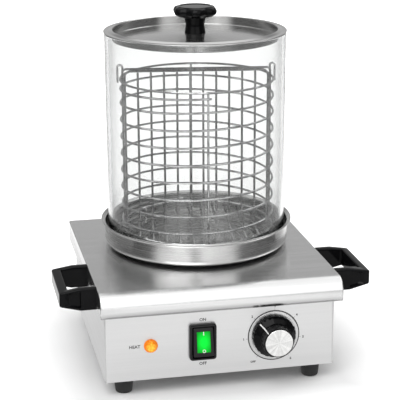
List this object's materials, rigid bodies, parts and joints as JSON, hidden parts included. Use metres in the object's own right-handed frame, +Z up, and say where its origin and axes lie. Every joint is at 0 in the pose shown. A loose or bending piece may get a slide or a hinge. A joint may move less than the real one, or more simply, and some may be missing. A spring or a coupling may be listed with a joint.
{
  "type": "hot dog steamer",
  "caption": "Counter-top steamer: a boxed steel base with controls carries a heated water bowl, a tall glass cylinder with a wire basket inside and a lid with a knob.",
  "frame": {"origin": "middle of the overall footprint, on the table under the feet", "axes": "+Z up, -Y towards the front panel with the controls, +X to the right as seen from the front"},
  "size_m": [0.337, 0.292, 0.3888],
  "materials": {
    "brushed_casing": "fine straight grain",
    "spun_bowl": "fine turned grain",
    "plated_wire": "satin plated wire",
    "clear_glass": "clear, polished edges",
    "black_moulding": "glossy moulded black",
    "black_phenolic": "satin moulded black",
    "foot_rubber": "matt",
    "silver_cap": "turned face",
    "white_mark": "painted line",
    "green_lens": "translucent green",
    "amber_lens": "translucent amber",
    "zinc_screw": "bright zinc",
    "cast_heater": "as cast",
    "element_sheath": "heat-tinted sheath",
    "copper_tube": "drawn copper",
    "brass_contact": "stamped brass",
    "nylon_black": "moulded",
    "nylon_white": "moulded",
    "silicone_gasket": "silicone rubber"
  },
  "bodies": {
    "base": {"top_cover": "brushed_casing", "lower_casing": "brushed_casing", "bottom_plate": "brushed_casing", "bottom_plate_screws": "zinc_screw", "foot_front_left": "foot_rubber", "foot_front_right": "foot_rubber", "foot_rear_left": "foot_rubber", "foot_rear_right": "foot_rubber", "foot_screws": "zinc_screw", "foot_nuts": "zinc_screw", "handle_right": "black_moulding", "handle_left": "black_moulding", "handle_screws": "zinc_screw", "water_bowl": "spun_bowl", "bowl_gasket": "silicone_gasket", "glass_seat_ring": "spun_bowl", "bowl_stud": "zinc_screw", "heater_plate": "cast_heater", "heater_spacer": "zinc_screw", "heater_nut": "zinc_screw", "heating_element": "element_sheath", "heater_bridge": "brushed_casing", "thermal_cutout": "nylon_black", "dial_trim_ring": "spun_bowl", "thermostat_body": "nylon_white", "thermostat_screws": "zinc_screw", "thermostat_bulb": "copper_tube", "switch_frame": "black_phenolic", "switch_body": "black_phenolic", "switch_terminals": "brass_contact", "lamp_lens": "amber_lens", "lamp_body": "nylon_black", "lamp_nut": "zinc_screw", "cable_gland_body": "nylon_black", "cable_gland_cap": "nylon_black", "cable_gland_nut": "nylon_black", "terminal_block": "nylon_white", "terminal_screws": "zinc_screw", "earth_screw": "brass_contact"},
    "glass": {"glass_cylinder": "clear_glass"},
    "lid": {"lid_pan": "spun_bowl", "lid_knob": "black_moulding", "lid_knob_washer": "zinc_screw", "lid_knob_screw": "zinc_screw"},
    "basket": {"basket_coil": "plated_wire", "basket_top_ring": "plated_wire", "basket_floor_ring": "plated_wire", "basket_uprights": "plated_wire", "basket_floor_wires": "plated_wire", "basket_legs": "plated_wire", "basket_rail": "plated_wire", "basket_partition_frame": "plated_wire", "basket_partition_wires": "plated_wire", "basket_ears": "plated_wire"},
    "dial": {"dial_knob": "black_moulding", "dial_cap": "silver_cap", "dial_pointer": "white_mark", "thermostat_shaft": "zinc_screw"},
    "rocker": {"switch_rocker": "black_phenolic", "rocker_lens": "green_lens"}
  },
  "joints": [
    {"name": "glass_lift", "type": "slide", "parent": "base", "child": "glass", "axis": [0, 0, 1], "range_m": [0, 0.24]},
    {"name": "lid_lift", "type": "slide", "parent": "glass", "child": "lid", "axis": [0, 0, 1], "range_m": [0, 0.46]},
    {"name": "basket_lift", "type": "slide", "parent": "base", "child": "basket", "axis": [0, 0, 1], "range_m": [0, 0.23]},
    {"name": "dial_turn", "type": "hinge", "parent": "base", "child": "dial", "pos_m": [0.0572, -0.122, 0.0559], "axis": [0, -1, 0], "range_deg": [-192, 96]},
    {"name": "rocker_tilt", "type": "hinge", "parent": "base", "child": "rocker", "pos_m": [-0.0205, -0.121, 0.056], "axis": [1, 0, 0], "range_deg": [0, 20]}
  ],
  "couplings": [
    {"joint": "basket_lift", "follows": "lid_lift", "ratio": 0.5}
  ]
}
